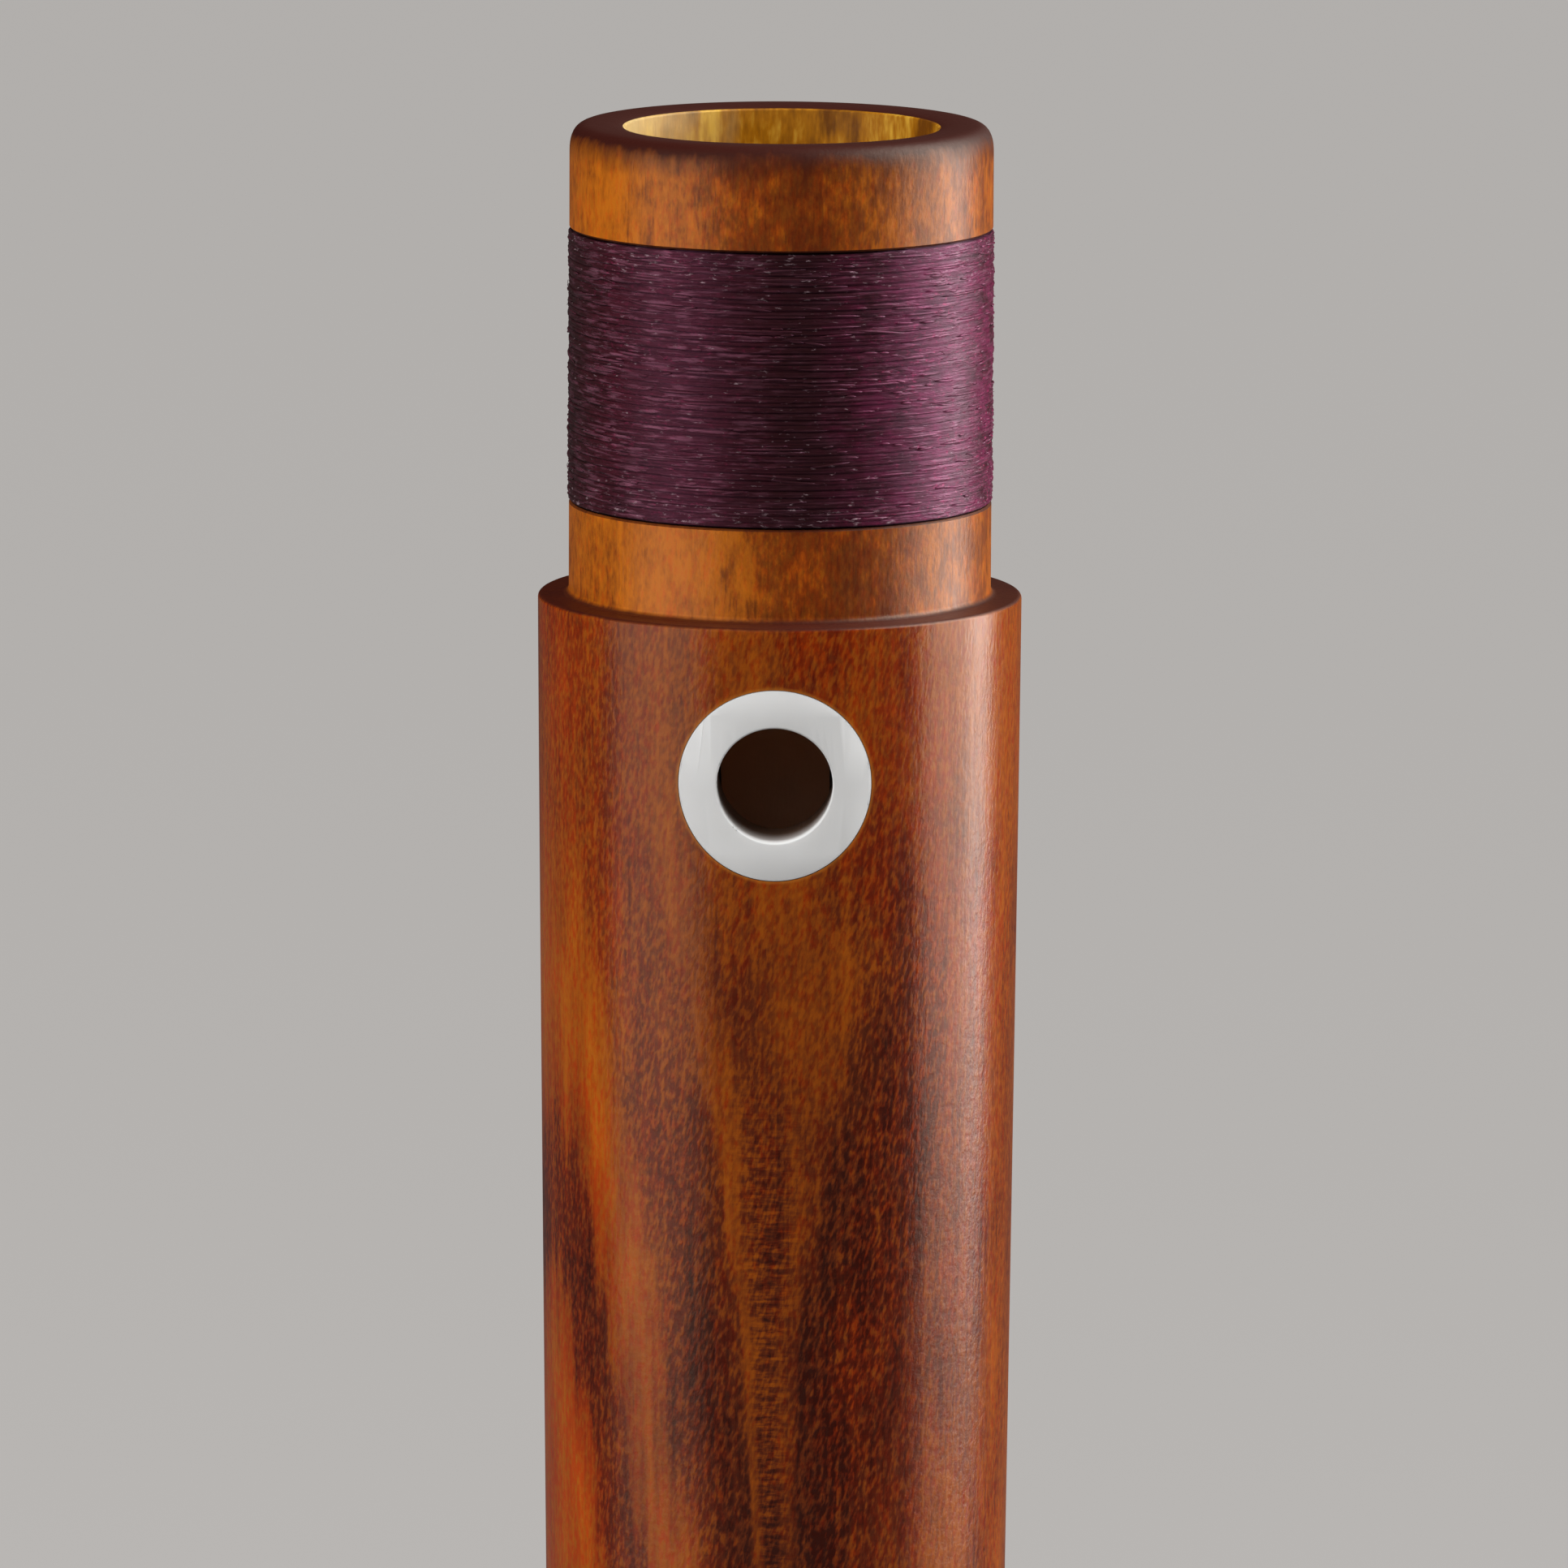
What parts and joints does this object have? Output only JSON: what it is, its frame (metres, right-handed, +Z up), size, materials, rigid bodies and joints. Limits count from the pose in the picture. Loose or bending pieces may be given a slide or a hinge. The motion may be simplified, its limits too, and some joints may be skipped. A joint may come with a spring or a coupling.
{
  "type": "recorder",
  "caption": "Wooden alto recorder with its head joint drawn off: the middle joint stands in its foot with the thread-lapped upper tenon bare, and the head joint stands beside it.",
  "frame": {"origin": "on the surface that the foot joint and the head joint stand on, in the middle of their common bounding box", "axes": "+Z up the bore of the middle joint, towards its bare upper tenon; -Y the way the thumb hole faces; +Y the way the finger holes and the window face; +X from the middle joint to the head joint"},
  "size_m": [0.0834, 0.0392, 0.33],
  "materials": {
    "body_wood": "oiled and polished reddish-brown hardwood with a strong dark vertical figure",
    "bushing": "pale grey-white ring, dressed flush and lightly polished",
    "lapping_thread": "waxed purple sewing thread, wound tight",
    "block_wood": "unfinished cedar"
  },
  "bodies": {
    "middle_joint": {"middle_body": "body_wood", "thumb_hole_bushing": "bushing", "upper_lapping_underlay": "lapping_thread", "upper_lapping_thread": "lapping_thread", "lower_lapping": "lapping_thread"},
    "foot_joint": {"foot_body": "body_wood"},
    "head_joint": {"head_body": "body_wood", "block": "block_wood"}
  },
  "joints": [
    {"name": "foot_turn", "type": "hinge", "parent": "middle_joint", "child": "foot_joint", "pos_m": [-0.0241, 0, 0.0813], "axis": [0, 0, 1], "continuous": true},
    {"name": "head_lift", "type": "slide", "parent": "middle_joint", "child": "head_joint", "axis": [0, 0, 1], "range_m": [0, 0.36]}
  ]
}
